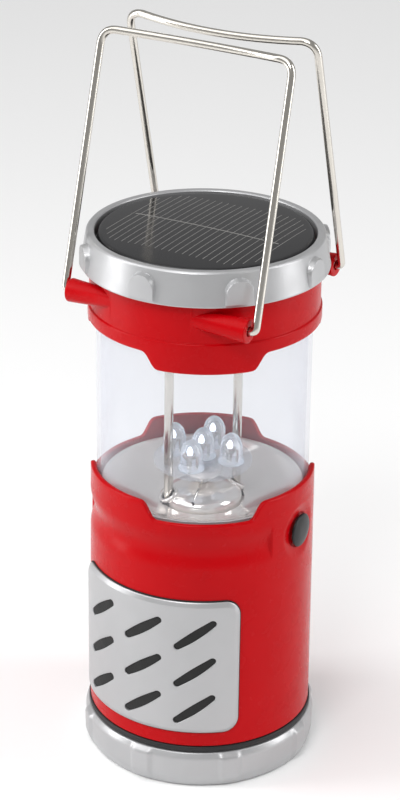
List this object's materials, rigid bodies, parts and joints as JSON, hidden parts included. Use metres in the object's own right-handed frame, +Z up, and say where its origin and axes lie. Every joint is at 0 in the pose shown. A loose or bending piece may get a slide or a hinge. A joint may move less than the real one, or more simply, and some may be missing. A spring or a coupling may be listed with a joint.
{
  "type": "solar camping lantern",
  "caption": "Round pull-up camping lantern with a solar panel lid, clear window, LED lamps, twist-off battery base and folding wire bails.",
  "frame": {"origin": "centre of the resting face under the battery cap", "axes": "+Z up the lantern's axis, +X towards the power button and along the bail pivots, -Y towards the grille"},
  "size_m": [0.087, 0.087, 0.264],
  "materials": {
    "red_plastic": "semi-gloss moulded plastic",
    "silver_plastic": "satin silver paint on plastic",
    "black_rubber": "matte",
    "black_plastic": "fine matte",
    "reflector_chrome": "bright vacuum plating on plastic",
    "nickel_wire": "bright nickel plate",
    "clear_plastic": "clear polished",
    "lamp_resin": "clear moulded resin",
    "solar_silicon": "dark silicon with fine silver fingers",
    "board_green": "solder mask",
    "cell_wrap": "plastic sleeve"
  },
  "bodies": {
    "lantern_body": {"base_gasket": "black_rubber", "body_shell": "red_plastic", "grille_panel": "silver_plastic", "grille_backing": "black_plastic", "button_snap_disc": "nickel_wire", "inner_chassis": "black_plastic", "chassis_screw_1": "nickel_wire", "chassis_screw_2": "nickel_wire", "chassis_screw_3": "nickel_wire", "battery_carrier": "black_plastic", "battery_cell_1": "cell_wrap", "battery_cell_2": "cell_wrap", "battery_cell_3": "cell_wrap", "battery_cell_4": "cell_wrap", "circuit_board": "board_green", "charge_chip": "black_plastic", "reflector": "reflector_chrome", "rod_guide_1": "reflector_chrome", "rod_guide_2": "reflector_chrome", "led_stem": "reflector_chrome", "led_disc": "clear_plastic", "led_lamp_1": "lamp_resin", "led_lamp_2": "lamp_resin", "led_lamp_3": "lamp_resin", "led_lamp_4": "lamp_resin", "led_lamp_5": "lamp_resin"},
    "battery_cap": {"base_cap": "silver_plastic", "contact_plate": "nickel_wire"},
    "button": {"power_button": "black_rubber"},
    "top_unit": {"clear_tube": "clear_plastic", "tube_slide_ring": "black_plastic", "guide_rod_1": "nickel_wire", "guide_rod_2": "nickel_wire", "upper_collar": "red_plastic", "cap_ring": "silver_plastic", "solar_tray": "black_plastic", "solar_cell": "solar_silicon", "solar_window": "clear_plastic"},
    "bail_front": {"front_bail": "nickel_wire"},
    "bail_back": {"back_bail": "nickel_wire"}
  },
  "joints": [
    {"name": "top_slide", "type": "slide", "parent": "lantern_body", "child": "top_unit", "axis": [0, 0, -1], "range_m": [0, 0.0555]},
    {"name": "front_bail_swing", "type": "hinge", "parent": "top_unit", "child": "bail_front", "pos_m": [0, -0.0335, 0.178], "axis": [1, 0, 0], "range_deg": [0, 189]},
    {"name": "back_bail_swing", "type": "hinge", "parent": "top_unit", "child": "bail_back", "pos_m": [0, 0.0335, 0.178], "axis": [-1, 0, 0], "range_deg": [0, 189]},
    {"name": "button_press", "type": "slide", "parent": "lantern_body", "child": "button", "axis": [-1, 0, 0], "range_m": [0, 0.0006], "stiffness_N_per_m": 900},
    {"name": "battery_cap_twist", "type": "hinge", "parent": "lantern_body", "child": "battery_cap", "pos_m": [0, 0, 0.007], "axis": [0, 0, 1], "range_deg": [0, 45]}
  ]
}
